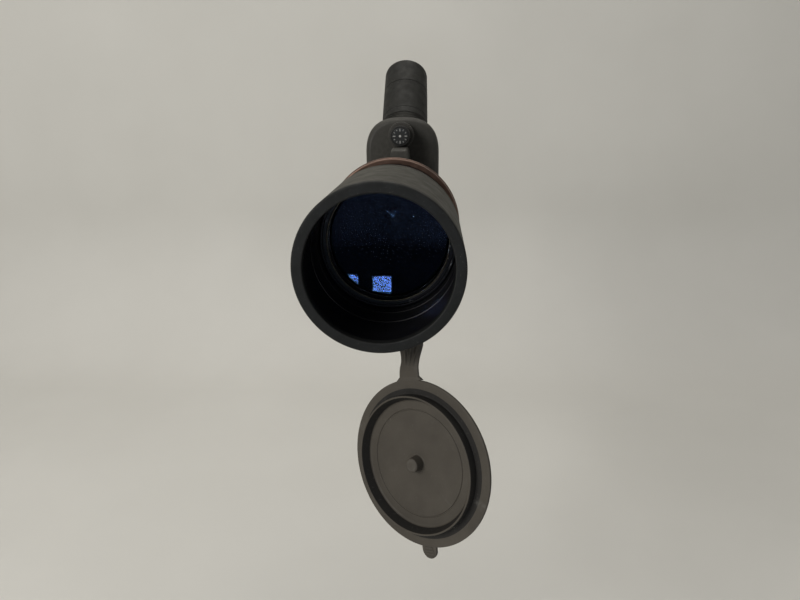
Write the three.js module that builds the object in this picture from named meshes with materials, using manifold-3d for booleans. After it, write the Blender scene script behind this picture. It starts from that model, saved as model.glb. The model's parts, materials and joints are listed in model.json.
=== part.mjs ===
// Angled spotting scope with a 100 mm class objective, a pull-out sun hood, a tethered rubber
// objective cap, a rotating collar with a dovetail foot, dual focus knobs and a zoom eyepiece.
//
// Units are millimetres. The object stands with +Z up and its optical axis along Y: the
// objective looks towards -Y and the eyepiece leans up and back towards +Y. The origin is the
// centre of the dovetail plate's flat lower face. Inside the scope group, y is counted from the
// front of the extended hood and z from the optical axis.

import * as THREE from 'three';
import * as BufferGeometryUtils from 'three/addons/utils/BufferGeometryUtils.js';
import Module from 'manifold-3d';

const wasm = await Module();
wasm.setup();

// ---------------------------------------------------------------- driving dimensions

const GAP = 0.3;
// Sides of a large round piece and of a small one.
const SEGMENTS = 40;
const FEWER = 28;

const HOOD_RADIUS = 60;
const HOOD_LENGTH = 111;
const HOOD_TRAVEL = 45;
const RIM_BORE = 52.2;
const RIM_DEPTH = 6;
const TUBE_WALL = 1.6;

const APERTURE_RADIUS = 50;
const BARREL_RADIUS = 56;
const BARREL_FRONT = 88;
const ACCENT_RADIUS = 61;
const ACCENT_WIDTH = 9.5;

const TRACK_RADIUS = 44;
const COLLAR_FRONT = 234.4;
const COLLAR_WIDTH = 27.2;
const COLLAR_RADIUS = 51.5;

const AXIS_HEIGHT = 90;
const PLATE_LENGTH = 90;
const PLATE_WIDTH = 38;
const PLATE_THICKNESS = 9.7;
const PLATE_CENTRE = 245;

const HOUSING_HALF_WIDTH = 43;
const HOUSING_FRONT = 332;
const HOUSING_TOP = 92;
const HOUSING_FULLNESS = 1.3;
const HOUSING_WALL = 3;

const KNOB_HEIGHT = 73;
const COARSE_RADIUS = 14.5;
const FINE_RADIUS = 11;

const BEND_Y = 332;
const EYEPIECE_ANGLE = Math.PI / 4;
const EYEPIECE_BASE = 103.3;
const EYEPIECE_RADIUS = 29;

const CAP_RADIUS = 62.5;
const CAP_CENTRE = new THREE.Vector3(25.6, 0.6, -148.7);
const CAP_TURN = THREE.MathUtils.degToRad(-37.1);
const CAP_TILT = THREE.MathUtils.degToRad(-11.9);
const CAP_LEAN = THREE.MathUtils.degToRad(18.624);
const STRAP_ANCHOR_ANGLE = THREE.MathUtils.degToRad(17.539);
const STRAP_ANCHOR_Y = 25.886;
const STRAP_THICKNESS = 2.2;

// Places that follow from the driving dimensions.
const accentFront = HOOD_LENGTH + HOOD_TRAVEL + 2.2;
const accentBack = accentFront + ACCENT_WIDTH;
const collarBack = COLLAR_FRONT + COLLAR_WIDTH;
const plateTop = -AXIS_HEIGHT + PLATE_THICKNESS;

// ---------------------------------------------------------------- materials

const finish = (color, roughness, metalness) =>
  new THREE.MeshStandardMaterial({ color, roughness, metalness });

const armourRubber = () => finish(0x3b3a36, 0.78, 0);
const rimRubber = () => finish(0x232425, 0.82, 0);
const capRubber = () => finish(0x45413c, 0.8, 0);
const blackAnodised = () => finish(0x17181a, 0.45, 0.85);
const satinPaint = () => finish(0x2e2f2e, 0.55, 0.1);
const copperAnodised = () => finish(0x8f6450, 0.38, 0.9);
const brass = () => finish(0xb08d4c, 0.35, 1);
const steel = () => finish(0x8e9094, 0.3, 1);
const nylon = () => finish(0xd8d4c8, 0.6, 0);
const coatedGlass = () => finish(0x1a2440, 0.03, 0);
const badgePrint = () => finish(0x5a5b5d, 0.4, 0.6);

// ---------------------------------------------------------------- shape helpers

// A closed, indexed copy of a geometry with its vertices merged and its faces pointing out.
function closed(geometry) {
  const bare = geometry.clone();
  bare.deleteAttribute('normal');
  bare.deleteAttribute('uv');
  const merged = BufferGeometryUtils.mergeVertices(bare, 1e-4);
  const position = merged.getAttribute('position');
  const corners = merged.getIndex().array;
  const kept = [];
  const a = new THREE.Vector3();
  const b = new THREE.Vector3();
  const c = new THREE.Vector3();
  let volume = 0;
  for (let i = 0; i < corners.length; i += 3) {
    const [p, q, r] = [corners[i], corners[i + 1], corners[i + 2]];
    if (p === q || q === r || r === p) continue;
    a.fromBufferAttribute(position, p);
    b.fromBufferAttribute(position, q);
    c.fromBufferAttribute(position, r);
    volume += a.dot(b.cross(c));
    kept.push(p, q, r);
  }
  if (volume < 0) kept.reverse();
  merged.setIndex(kept);
  return merged;
}

function toSolid(geometry) {
  const shape = closed(geometry);
  return new wasm.Manifold(new wasm.Mesh({
    numProp: 3,
    vertProperties: new Float32Array(shape.getAttribute('position').array),
    triVerts: new Uint32Array(shape.getIndex().array),
  }));
}

function toGeometry(solid) {
  const mesh = solid.getMesh();
  const geometry = new THREE.BufferGeometry();
  geometry.setAttribute('position', new THREE.BufferAttribute(mesh.vertProperties, 3));
  geometry.setIndex(new THREE.BufferAttribute(mesh.triVerts, 1));
  return geometry;
}

// The first geometry with the others joined to it.
const join = (first, ...others) =>
  toGeometry(others.reduce((sum, other) => sum.add(toSolid(other)), toSolid(first)));

// The first geometry with the others cut away from it.
const cut = (first, ...tools) =>
  toGeometry(tools.reduce((rest, tool) => rest.subtract(toSolid(tool)), toSolid(first)));

// A ring turned about Y from a closed outline of [radius, y] corners.
function ring(outline, segments = SEGMENTS) {
  const points = [...outline, outline[0]].map(([r, y]) => new THREE.Vector2(r, y));
  return closed(new THREE.LatheGeometry(points, segments));
}

// A plain sleeve between two radii and two stations along Y.
const sleeve = (inner, outer, front, back, segments = SEGMENTS) =>
  ring([[inner, front], [outer, front], [outer, back], [inner, back]], segments);

// A turned solid whose outline of [radius, y] corners starts and ends on the axis.
function turned(outline, segments = 32) {
  return closed(new THREE.LatheGeometry(outline.map(([r, y]) => new THREE.Vector2(r, y)), segments));
}

function rodY(radius, front, back, x = 0, z = 0, segments = 24) {
  const rod = new THREE.CylinderGeometry(radius, radius, back - front, segments);
  return rod.translate(x, (front + back) / 2, z);
}

function rodX(radius, from, to, y, z, segments = 24) {
  const rod = new THREE.CylinderGeometry(radius, radius, to - from, segments);
  return rod.rotateZ(Math.PI / 2).translate((from + to) / 2, y, z);
}

function rodZ(radius, from, to, x, y, segments = 24) {
  const rod = new THREE.CylinderGeometry(radius, radius, to - from, segments);
  return rod.rotateX(Math.PI / 2).translate(x, y, (from + to) / 2);
}

function block(x0, x1, y0, y1, z0, z1) {
  const box = new THREE.BoxGeometry(x1 - x0, y1 - y0, z1 - z0);
  return box.translate((x0 + x1) / 2, (y0 + y1) / 2, (z0 + z1) / 2);
}

// A flat plate of the given [y, z] outline, centred on x.
function plateYZ(outline, x0, x1) {
  const shape = new THREE.Shape(outline.map(([y, z]) => new THREE.Vector2(y, z)));
  const plate = new THREE.ExtrudeGeometry(shape, { depth: x1 - x0, bevelEnabled: false });
  const turnToYZ = new THREE.Matrix4().makeBasis(
    new THREE.Vector3(0, 1, 0), new THREE.Vector3(0, 0, 1), new THREE.Vector3(1, 0, 0));
  return plate.applyMatrix4(turnToYZ).translate(x0, 0, 0);
}

// A bar of the given [x, z] section, running along Y.
function barY(section, front, back) {
  const shape = new THREE.Shape(section.map(([x, z]) => new THREE.Vector2(x, -z)));
  const bar = new THREE.ExtrudeGeometry(shape, { depth: back - front, bevelEnabled: false });
  return bar.rotateX(-Math.PI / 2).translate(0, front, 0);
}

// A fluted knob about Y: a round outline whose edge dips in evenly spaced grips.
function flutedKnob(radius, flutes, dip, front, back, bore) {
  const outline = new THREE.Shape();
  const steps = flutes * 4;
  for (let i = 0; i < steps; i++) {
    const angle = (i / steps) * 2 * Math.PI;
    const r = radius - dip * (0.5 - 0.5 * Math.cos(flutes * angle));
    outline[i ? 'lineTo' : 'moveTo'](r * Math.cos(angle), r * Math.sin(angle));
  }
  outline.closePath();
  if (bore > 0) outline.holes.push(new THREE.Path().absarc(0, 0, bore, 0, 2 * Math.PI, true));
  const depth = back - front;
  const knob = new THREE.ExtrudeGeometry(outline, { depth, bevelEnabled: false, curveSegments: 12 });
  return knob.rotateX(-Math.PI / 2).translate(0, front, 0);
}

// A closed skin stretched over a row of loops that all have the same number of points.
function loft(loops) {
  const count = loops[0].length;
  const corners = loops.flat();
  const faces = [];
  for (let row = 0; row < loops.length - 1; row++) {
    for (let i = 0; i < count; i++) {
      const next = (i + 1) % count;
      const a = row * count + i;
      const b = row * count + next;
      faces.push(a, b, b + count, a, b + count, a + count);
    }
  }
  for (const [row, first, second] of [[0, 1, 0], [loops.length - 1, 0, 1]]) {
    const centre = new THREE.Vector3();
    loops[row].forEach((point) => centre.add(point));
    corners.push(centre.divideScalar(count));
    for (let i = 0; i < count; i++) {
      const pair = [row * count + i, row * count + ((i + 1) % count)];
      faces.push(pair[first], pair[second], corners.length - 1);
    }
  }
  const geometry = new THREE.BufferGeometry().setFromPoints(corners);
  geometry.setIndex(faces);
  return closed(geometry);
}

// A strap: rectangular sections along a line, each with its own width and direction of width.
function strap(sections, along, thickness) {
  return loft(sections.map(({ centre, across, width }) => {
    const w = across.clone().multiplyScalar(width / 2);
    const t = new THREE.Vector3().crossVectors(along, across).normalize();
    t.multiplyScalar(thickness / 2);
    return [[1, 1], [-1, 1], [-1, -1], [1, -1]].map(([i, j]) =>
      centre.clone().addScaledVector(w, i).addScaledVector(t, j));
  }));
}

function add(group, name, geometry, material) {
  const mesh = new THREE.Mesh(geometry, material);
  mesh.name = name;
  group.add(mesh);
  return mesh;
}

// ---------------------------------------------------------------- scope group

const object = new THREE.Group();
const scope = new THREE.Group();
scope.position.set(0, -PLATE_CENTRE, AXIS_HEIGHT);
object.add(scope);

// ---------------------------------------------------------------- sun hood

// Directions at the strap's anchor on the lower right of the hood.
const anchorOut = new THREE.Vector3(Math.sin(STRAP_ANCHOR_ANGLE), 0, -Math.cos(STRAP_ANCHOR_ANGLE));
const anchorAcross = new THREE.Vector3(Math.cos(STRAP_ANCHOR_ANGLE), 0, Math.sin(STRAP_ANCHOR_ANGLE));
const strapRadius = HOOD_RADIUS + 0.5 + STRAP_THICKNESS / 2;
const studY = STRAP_ANCHOR_Y + 10;

// A pin that points out of the hood at the strap's anchor, from one radius to another.
function anchorPin(radius, from, to) {
  const pin = new THREE.CylinderGeometry(radius, radius, to - from, 16);
  pin.translate(0, -(from + to) / 2, 0).rotateX(Math.PI / 2);
  pin.rotateY(-STRAP_ANCHOR_ANGLE).translate(0, studY, 0);
  return pin;
}

function addHood() {
  const hood = new THREE.Group();
  const tubeBore = BARREL_RADIUS + 0.4;
  const tubeRadius = tubeBore + TUBE_WALL;
  const front = RIM_DEPTH + GAP;
  const studHole = anchorPin(2.1, tubeBore - 2, HOOD_RADIUS + 3);
  add(hood, 'hood_rim', ring([
    [RIM_BORE, 0.8], [RIM_BORE + 0.8, 0], [HOOD_RADIUS - 0.9, 0], [HOOD_RADIUS, 0.9],
    [HOOD_RADIUS, RIM_DEPTH], [RIM_BORE, RIM_DEPTH],
  ]), rimRubber());
  add(hood, 'hood_tube', cut(sleeve(tubeBore, tubeRadius, front, HOOD_LENGTH - 0.6), studHole),
    blackAnodised());
  add(hood, 'hood_armour', cut(sleeve(tubeRadius + GAP, HOOD_RADIUS, front, HOOD_LENGTH), studHole),
    armourRubber());

  const padFront = STRAP_ANCHOR_Y + 3;
  const padBack = studY + 7;
  const pad = block(-8, 8, padFront, padBack, -strapRadius - STRAP_THICKNESS / 2,
    -strapRadius + STRAP_THICKNESS / 2);
  pad.rotateY(-STRAP_ANCHOR_ANGLE);
  add(hood, 'cap_strap_pad', cut(pad, studHole), capRubber());
  const headFrom = strapRadius + STRAP_THICKNESS / 2 + GAP;
  add(hood, 'cap_strap_stud', join(
    anchorPin(1.8, tubeBore + 0.4, headFrom + 0.6), anchorPin(4.2, headFrom, headFrom + 1.6),
  ), blackAnodised());
  scope.add(hood);
}

// ---------------------------------------------------------------- objective

function addObjective() {
  const bore = BARREL_RADIUS - 2.1;
  const shoulder = BARREL_FRONT + 30.3;
  const neck = BARREL_RADIUS - GAP;
  add(scope, 'objective_barrel', ring([
    [bore, BARREL_FRONT], [BARREL_RADIUS - 0.6, BARREL_FRONT], [BARREL_RADIUS, BARREL_FRONT + 0.6],
    [BARREL_RADIUS, accentFront - GAP], [neck, accentFront - GAP], [neck, accentBack + 4],
    [bore, accentBack + 4], [bore, shoulder + 2.7], [bore - 3.3, shoulder + 2.7],
    [bore - 3.3, shoulder], [bore, shoulder],
  ]), blackAnodised());
  add(scope, 'accent_ring', ring([
    [BARREL_RADIUS, accentFront], [ACCENT_RADIUS - 1.4, accentFront],
    [ACCENT_RADIUS - 0.8, accentFront + 0.6], [ACCENT_RADIUS - 0.8, accentFront + 6],
    [ACCENT_RADIUS, accentFront + 6.5], [ACCENT_RADIUS, accentBack - 0.8],
    [ACCENT_RADIUS - 0.8, accentBack], [BARREL_RADIUS, accentBack],
  ]), copperAnodised());

  const cellRadius = bore - GAP;
  const lensRadius = APERTURE_RADIUS + 1.1;
  const cellFront = BARREL_FRONT + 4.3;
  const cellBack = shoulder - GAP;
  add(scope, 'lens_retaining_ring', ring([
    [APERTURE_RADIUS, BARREL_FRONT + 1.6], [APERTURE_RADIUS + 1, BARREL_FRONT + 0.6],
    [cellRadius, BARREL_FRONT + 0.6], [cellRadius, cellFront - GAP],
    [APERTURE_RADIUS, cellFront - GAP],
  ]), blackAnodised());
  add(scope, 'lens_cell', ring([
    [lensRadius + GAP, cellFront], [cellRadius, cellFront], [cellRadius, cellBack],
    [APERTURE_RADIUS - 0.5, cellBack], [APERTURE_RADIUS - 0.5, cellBack - 3.2],
    [lensRadius + GAP, cellBack - 3.2],
  ]), blackAnodised());

  const frontEdge = cellFront + GAP;
  add(scope, 'objective_front_lens', lens(lensRadius, frontEdge, frontEdge + 6.9, 3.6, 3), coatedGlass());
  const spacerFront = frontEdge + 6.9 + GAP;
  add(scope, 'lens_spacer', sleeve(APERTURE_RADIUS - 0.4, lensRadius, spacerFront, spacerFront + 1.4),
    blackAnodised());
  const rearEdge = spacerFront + 1.4 + GAP;
  add(scope, 'objective_rear_lens', lens(lensRadius, rearEdge, cellBack - 3.2 - GAP, -2.9, -2),
    coatedGlass());
}

// A lens about Y: its two edges along Y and how far each face bulges out, or in if negative.
function lens(radius, front, back, frontBulge, backBulge, segments = SEGMENTS) {
  const steps = 3;
  const outline = [];
  for (let i = 0; i <= steps; i++) {
    const r = radius * (i / steps);
    outline.push([r, front - frontBulge * (1 - (i / steps) ** 2)]);
  }
  for (let i = steps; i >= 0; i--) {
    const r = radius * (i / steps);
    outline.push([r, back + backBulge * (1 - (i / steps) ** 2)]);
  }
  return turned(outline, segments);
}

// ---------------------------------------------------------------- main tube

const tubeEnd = collarBack + 8.4;

function addMainTube() {
  const flange = BARREL_RADIUS + 3.5;
  const flangeBack = accentBack + 10;
  const waist = COLLAR_FRONT - 4.4;
  const shoulderRadius = TRACK_RADIUS + 3.5;
  const front = accentBack + GAP;
  add(scope, 'main_tube', ring([
    [BARREL_RADIUS, front], [flange - 0.8, front], [flange, front + 0.8], [flange, flangeBack],
    [55, flangeBack], [45, waist], [shoulderRadius, waist], [shoulderRadius, COLLAR_FRONT - GAP],
    [TRACK_RADIUS, COLLAR_FRONT - GAP], [TRACK_RADIUS, tubeEnd], [TRACK_RADIUS - 3, tubeEnd],
    [TRACK_RADIUS - 3, waist], [51, flangeBack - 3], [BARREL_RADIUS, flangeBack - 5],
  ]), blackAnodised());
  add(scope, 'tube_armour', ring([
    [55 + GAP, flangeBack + GAP], [55 + GAP + 1.8, flangeBack + GAP],
    [45 + GAP + 1.8, waist - GAP], [45 + GAP, waist - GAP],
  ]), armourRubber());
  add(scope, 'collar_retaining_ring',
    sleeve(TRACK_RADIUS + GAP, shoulderRadius, collarBack + GAP, collarBack + 4.3), blackAnodised());
}

// ---------------------------------------------------------------- collar, foot and plate

const shoeInner = -(TRACK_RADIUS + 0.35);
const screwInner = -(TRACK_RADIUS + 6.9);
const bossEnd = -(COLLAR_RADIUS + 5);
const padBottom = -(COLLAR_RADIUS + 4.5);
const footTop = padBottom - GAP;
const footBottom = plateTop + GAP;
const footScrewStations = { front: 241, rear: 255 };
const plateScrewStations = { front: 221, rear: 269 };

function addCollar() {
  const middle = COLLAR_FRONT + COLLAR_WIDTH / 2;
  const bore = TRACK_RADIUS + GAP;
  const hoop = ring([
    [bore, COLLAR_FRONT], [COLLAR_RADIUS - 1.5, COLLAR_FRONT], [COLLAR_RADIUS, COLLAR_FRONT + 1.5],
    [COLLAR_RADIUS, collarBack - 1.5], [COLLAR_RADIUS - 1.5, collarBack], [bore, collarBack],
  ]);
  const boss = rodX(9, bossEnd, -(COLLAR_RADIUS - 3), middle, 0);
  const pad = block(-14, 14, COLLAR_FRONT + 1.5, collarBack - 1.5, padBottom, -(COLLAR_RADIUS - 4));
  const screwHoles = Object.values(footScrewStations).map((y) => rodZ(2.9, padBottom - 1, -47, 0, y, 16));
  add(scope, 'collar_ring',
    cut(join(hoop, boss, pad), rodX(4.3, bossEnd - 1, -(TRACK_RADIUS - 2), middle, 0), ...screwHoles),
    satinPaint());
  add(scope, 'brake_shoe', rodX(4, shoeInner - 5.6, shoeInner, middle, 0), nylon());
  add(scope, 'lock_screw', rodX(4, bossEnd - 3.3, screwInner, middle, 0), steel());
  const knob = flutedKnob(11, 8, 2.4, 0, 15, 0);
  knob.rotateZ(Math.PI / 2).translate(bossEnd - 3.6, middle, 0);
  add(scope, 'collar_lock_knob', knob, rimRubber());
}

function addFoot() {
  const base = footBottom + 8;
  const stem = plateYZ([
    [COLLAR_FRONT + 2, footTop], [collarBack - 2, footTop], [collarBack + 8, base], [275, footBottom],
    [215, footBottom], [COLLAR_FRONT - 8, base],
  ], -12, 12);
  const sole = block(-PLATE_WIDTH / 2, PLATE_WIDTH / 2, 212, 278, footBottom, base);
  const holes = [];
  for (const y of Object.values(footScrewStations)) {
    holes.push(rodZ(2.9, footBottom - 1, footTop + 1, 0, y, 16));
    holes.push(rodZ(4.9, footBottom - 1, footBottom + 5, 0, y, 16));
  }
  for (const y of Object.values(plateScrewStations)) {
    holes.push(rodZ(3.4, footBottom - 1, footBottom + 6.5, 0, y, 16));
  }
  add(scope, 'foot', cut(join(stem, sole), ...holes), satinPaint());
  for (const [place, y] of Object.entries(footScrewStations)) {
    const head = rodZ(4.5, footBottom + 0.6, footBottom + 4.6, 0, y, 16);
    add(scope, `foot_screw_${place}`, join(head, rodZ(2.6, footBottom + 3, -49, 0, y, 16)), steel());
  }
}

function addPlate() {
  const half = PLATE_WIDTH / 2;
  const bottom = -AXIS_HEIGHT;
  const right = [
    [half - 0.6, bottom], [half, bottom + 0.6], [half, bottom + 1.6], [half - 3.3, bottom + 4.9],
    [half - 3.3, bottom + 6], [half, bottom + 6], [half, plateTop],
  ];
  const left = right.map(([x, z]) => [-x, z]).reverse();
  const front = PLATE_CENTRE - PLATE_LENGTH / 2;
  const stations = Object.entries(plateScrewStations);
  const holes = stations.flatMap(([, y]) => [
    rodZ(3.4, bottom - 1, plateTop + 1, 0, y, 16),
    rodZ(6.6, bottom - 1, bottom + 4.6, 0, y, 20),
  ]);
  add(scope, 'dovetail_plate', cut(barY([...right, ...left], front, front + PLATE_LENGTH), ...holes),
    blackAnodised());
  for (const [place, y] of stations) {
    const head = rodZ(6.2, bottom + 0.8, bottom + 4.2, 0, y, 20);
    add(scope, `plate_screw_${place}`, join(head, rodZ(3.1, bottom + 3, footBottom + 6, 0, y, 16)),
      steel());
  }
}

// ---------------------------------------------------------------- prism housing

// A loop of points round an upright oval: a round bottom, straight sides and an arched top.
// Fullness squares the arch's shoulders: 1 makes it round. place() puts a point given by x and
// by its height above the oval's bottom.
function ovalLoop(halfWidth, height, place, fullness = 1, count = 40) {
  const straight = height - 2 * halfWidth;
  const points = [];
  for (let i = 0; i < count; i++) {
    const angle = -Math.PI / 2 + ((i + 0.5) / count) * 2 * Math.PI;
    const [across, up] = [Math.cos(angle), Math.sin(angle)];
    if (up < 0) {
      points.push(place(halfWidth * across, halfWidth + halfWidth * up));
    } else {
      const x = Math.sign(across) * Math.abs(across) ** (1 / fullness);
      points.push(place(halfWidth * x, halfWidth + straight + halfWidth * up ** (1 / fullness)));
    }
  }
  return points;
}

// The elbow that turns the body from the optical axis up towards the eyepiece. Its sections
// swing about a line above the housing, from upright to square with the eyepiece.
const pivotY = HOUSING_FRONT + 11;
const pivotZ = 123;
const housingBottom = -HOUSING_HALF_WIDTH;

function elbow(inset, start, lastAngle) {
  const loops = [];
  const upright = (y, shrink) => ovalLoop(
    HOUSING_HALF_WIDTH - inset - shrink, HOUSING_TOP - housingBottom - 2 * (inset + shrink),
    (x, h) => new THREE.Vector3(x, y, housingBottom + inset + shrink + h), HOUSING_FULLNESS);
  for (const [ahead, shrink] of [[11, 6], [9, 3], [5, 0.8], [0, 0]]) {
    if (pivotY - ahead >= start) loops.push(upright(pivotY - ahead, inset > 0 ? 0 : shrink));
  }
  if (inset > 0) loops.unshift(upright(start, 2));
  const steps = 5;
  for (let i = 1; i <= steps; i++) {
    const share = i / steps;
    const angle = lastAngle * share;
    const narrow = THREE.MathUtils.lerp(HOUSING_HALF_WIDTH, 34, share) - inset;
    const top = THREE.MathUtils.lerp(pivotZ - HOUSING_TOP, 45.2, share) + inset;
    const bottom = THREE.MathUtils.lerp(pivotZ - housingBottom, 113.2, share) - inset;
    const fullness = THREE.MathUtils.lerp(HOUSING_FULLNESS, 1, share);
    loops.push(ovalLoop(narrow, bottom - top, (x, h) => new THREE.Vector3(
      x, pivotY + (bottom - h) * Math.sin(angle), pivotZ - (bottom - h) * Math.cos(angle)),
    fullness));
  }
  return loft(loops);
}

function addHousing() {
  const facetHole = rodY(22, 60, 110, 0, 0, 32);
  facetHole.rotateX(EYEPIECE_ANGLE).translate(0, BEND_Y, 0);
  add(scope, 'prism_housing', cut(
    elbow(0, HOUSING_FRONT, EYEPIECE_ANGLE),
    elbow(HOUSING_WALL, HOUSING_FRONT + HOUSING_WALL, EYEPIECE_ANGLE * 0.95),
    facetHole,
    rodY(34, HOUSING_FRONT - 2, HOUSING_FRONT + 5, 0, 0, 32),
    block(-5, 5, HOUSING_FRONT - 2, HOUSING_FRONT + 5, 30, 56),
    rodY(3.5, HOUSING_FRONT - 2, HOUSING_FRONT + 5, 0, KNOB_HEIGHT, 16),
  ), armourRubber());

  const front = collarBack + 5;
  const back = HOUSING_FRONT - GAP;
  const neckLoop = (y, radius) => ovalLoop(radius, 2 * radius + 0.01,
    (x, h) => new THREE.Vector3(x, y, h - radius));
  const outer = loft([
    neckLoop(front, 46), neckLoop(front + 3, 47), neckLoop(300, 43.5), neckLoop(back, 42),
  ]);
  const inner = loft([neckLoop(front + 3.5, 44), neckLoop(300, 41), neckLoop(back + 1, 39.5)]);
  const ridgeTo = (top) => [[-11, 20], [-11, 54], [-8, top], [8, top], [11, 54], [11, 20]];
  const channel = [[-6, 20], [-6, 54.5], [6, 54.5], [6, 20]];
  add(scope, 'neck_housing', cut(
    join(outer, barY(ridgeTo(58), front, back), barY(ridgeTo(61), front, 308.6)),
    inner,
    barY(channel, front + 3.5, back + 1),
    rodY(TRACK_RADIUS + GAP, front - 1, front + 4, 0, 0, 48),
  ), armourRubber());
}

// ---------------------------------------------------------------- prism

function addPrism() {
  // The light enters the upright front face at this depth below its upper edge.
  const entry = 26;
  const side = 46;
  const halfWidth = 15;
  const topY = BEND_Y - entry * (Math.SQRT2 - 1);
  const faceEnd = side * Math.SQRT1_2;
  const lowerFront = [topY, entry - side];
  const lowerBack = [topY + faceEnd, entry - faceEnd];
  const slab = plateYZ([[topY, entry], lowerBack, lowerFront], -halfWidth, halfWidth);
  const slope = Math.atan2(lowerBack[1] - lowerFront[1], lowerBack[0] - lowerFront[0]);
  const out = [Math.sin(slope) * halfWidth, -Math.cos(slope) * halfWidth];
  const roof = loft([lowerFront, lowerBack].map(([y, z]) => [
    new THREE.Vector3(-halfWidth, y, z),
    new THREE.Vector3(halfWidth, y, z),
    new THREE.Vector3(0, y + out[0], z + out[1]),
  ]));
  add(scope, 'roof_prism', join(slab, roof), coatedGlass());

  const bracketFront = 300.3;
  const bracketBack = bracketFront + 4;
  add(scope, 'prism_bracket', cut(rodY(38.8, bracketFront, bracketBack, 0, 0, 40),
    rodY(17, bracketFront - 1, bracketBack + 1, 0, 0, 32),
    ...[-1, 1].map((hand) => rodY(1.5, bracketFront - 1, bracketBack + 1, hand * rodX0, 0, 12))),
  blackAnodised());
  const cheek = [
    [bracketBack + GAP, -27], [bracketBack + GAP, 27], [322, 27], [352, 0], [352, -22], [340, -27],
  ];
  const inner = halfWidth + 0.4;
  add(scope, 'prism_cheek_left', plateYZ(cheek, -inner - 3, -inner), blackAnodised());
  add(scope, 'prism_cheek_right', plateYZ(cheek, inner, inner + 3), blackAnodised());
}

// ---------------------------------------------------------------- focusing

const rodX0 = 37.6;
const focusFront = 262;
const focusBack = 286;
const nutFront = 345;
const nutBack = 357;

function addFocusCarriage() {
  const cell = ring([
    [30.4, focusFront], [35, focusFront], [35, focusBack], [28.5, focusBack],
    [28.5, focusBack - 3.5], [30.4, focusBack - 3.5],
  ]);
  const lugs = [-1, 1].map((hand) => rodY(3, focusFront + 4, focusFront + 16, hand * rodX0, 0, 16));
  const bores = [-1, 1].map((hand) => rodY(1.5, focusFront, focusBack, hand * rodX0, 0, 12));
  add(scope, 'focus_cell', cut(join(cell, ...lugs), ...bores), blackAnodised());
  add(scope, 'focus_lens', lens(30.1, focusFront + 6, focusBack - 3.8, -3, -3, 32), coatedGlass());
  for (const [name, hand] of [['left', -1], ['right', 1]]) {
    add(scope, `guide_rod_${name}`, rodY(1.2, 240.5, 304, hand * rodX0, 0, 12), steel());
  }
  add(scope, 'guide_rod_ring', cut(sleeve(35.8, TRACK_RADIUS - 3 - GAP, 238, 242, 40),
    ...[-1, 1].map((hand) => rodY(1.5, 237, 243, hand * rodX0, 0, 12))), blackAnodised());
  add(scope, 'focus_arm', plateYZ([
    [focusBack - 6, 35.4], [focusBack, 35.4], [focusBack, 46], [nutBack, 46], [nutBack, 62.2],
    [nutFront, 62.2], [nutFront, 52], [focusBack - 6, 52],
  ], -3, 3), blackAnodised());
  add(scope, 'focus_nut', cut(block(-6, 6, nutFront, nutBack, 62.5, 79.5),
    rodY(4.3, nutFront - 1, nutBack + 1, 0, KNOB_HEIGHT, 24)), brass());
}

function addFocusKnobs() {
  const knobs = new THREE.Group();
  knobs.position.z = KNOB_HEIGHT;
  const coarseFront = 309.3;
  const coarseBack = 328;
  const fineFront = 294.4;
  const fineBack = 309;
  add(knobs, 'focus_shaft', cut(turned([
    [0, coarseFront + 0.3], [3, coarseFront + 0.3], [3, 337], [4, 337.6], [4, 371.4], [3.4, 372],
    [0, 372],
  ], 24), rodY(2.1, coarseFront - 1, 322, 0, 0, 16)), steel());
  add(knobs, 'coarse_focus_knob', flutedKnob(COARSE_RADIUS, 24, 0.7, coarseFront, coarseBack, 3.3),
    rimRubber());
  add(knobs, 'fine_focus_knob', join(flutedKnob(FINE_RADIUS, 18, 0.6, fineFront, fineBack, 0),
    rodY(1.8, fineBack - 1, 321, 0, 0, 16)), rimRubber());
  add(knobs, 'fine_knob_badge', rodY(8.6, fineFront - 1.1, fineFront - GAP, 0, 0, 32), badgePrint());
  add(knobs, 'shaft_bush', sleeve(3.3, 8, coarseBack + GAP, HOUSING_FRONT - GAP, 24), brass());
  scope.add(knobs);
}

// ---------------------------------------------------------------- eyepiece

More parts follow.
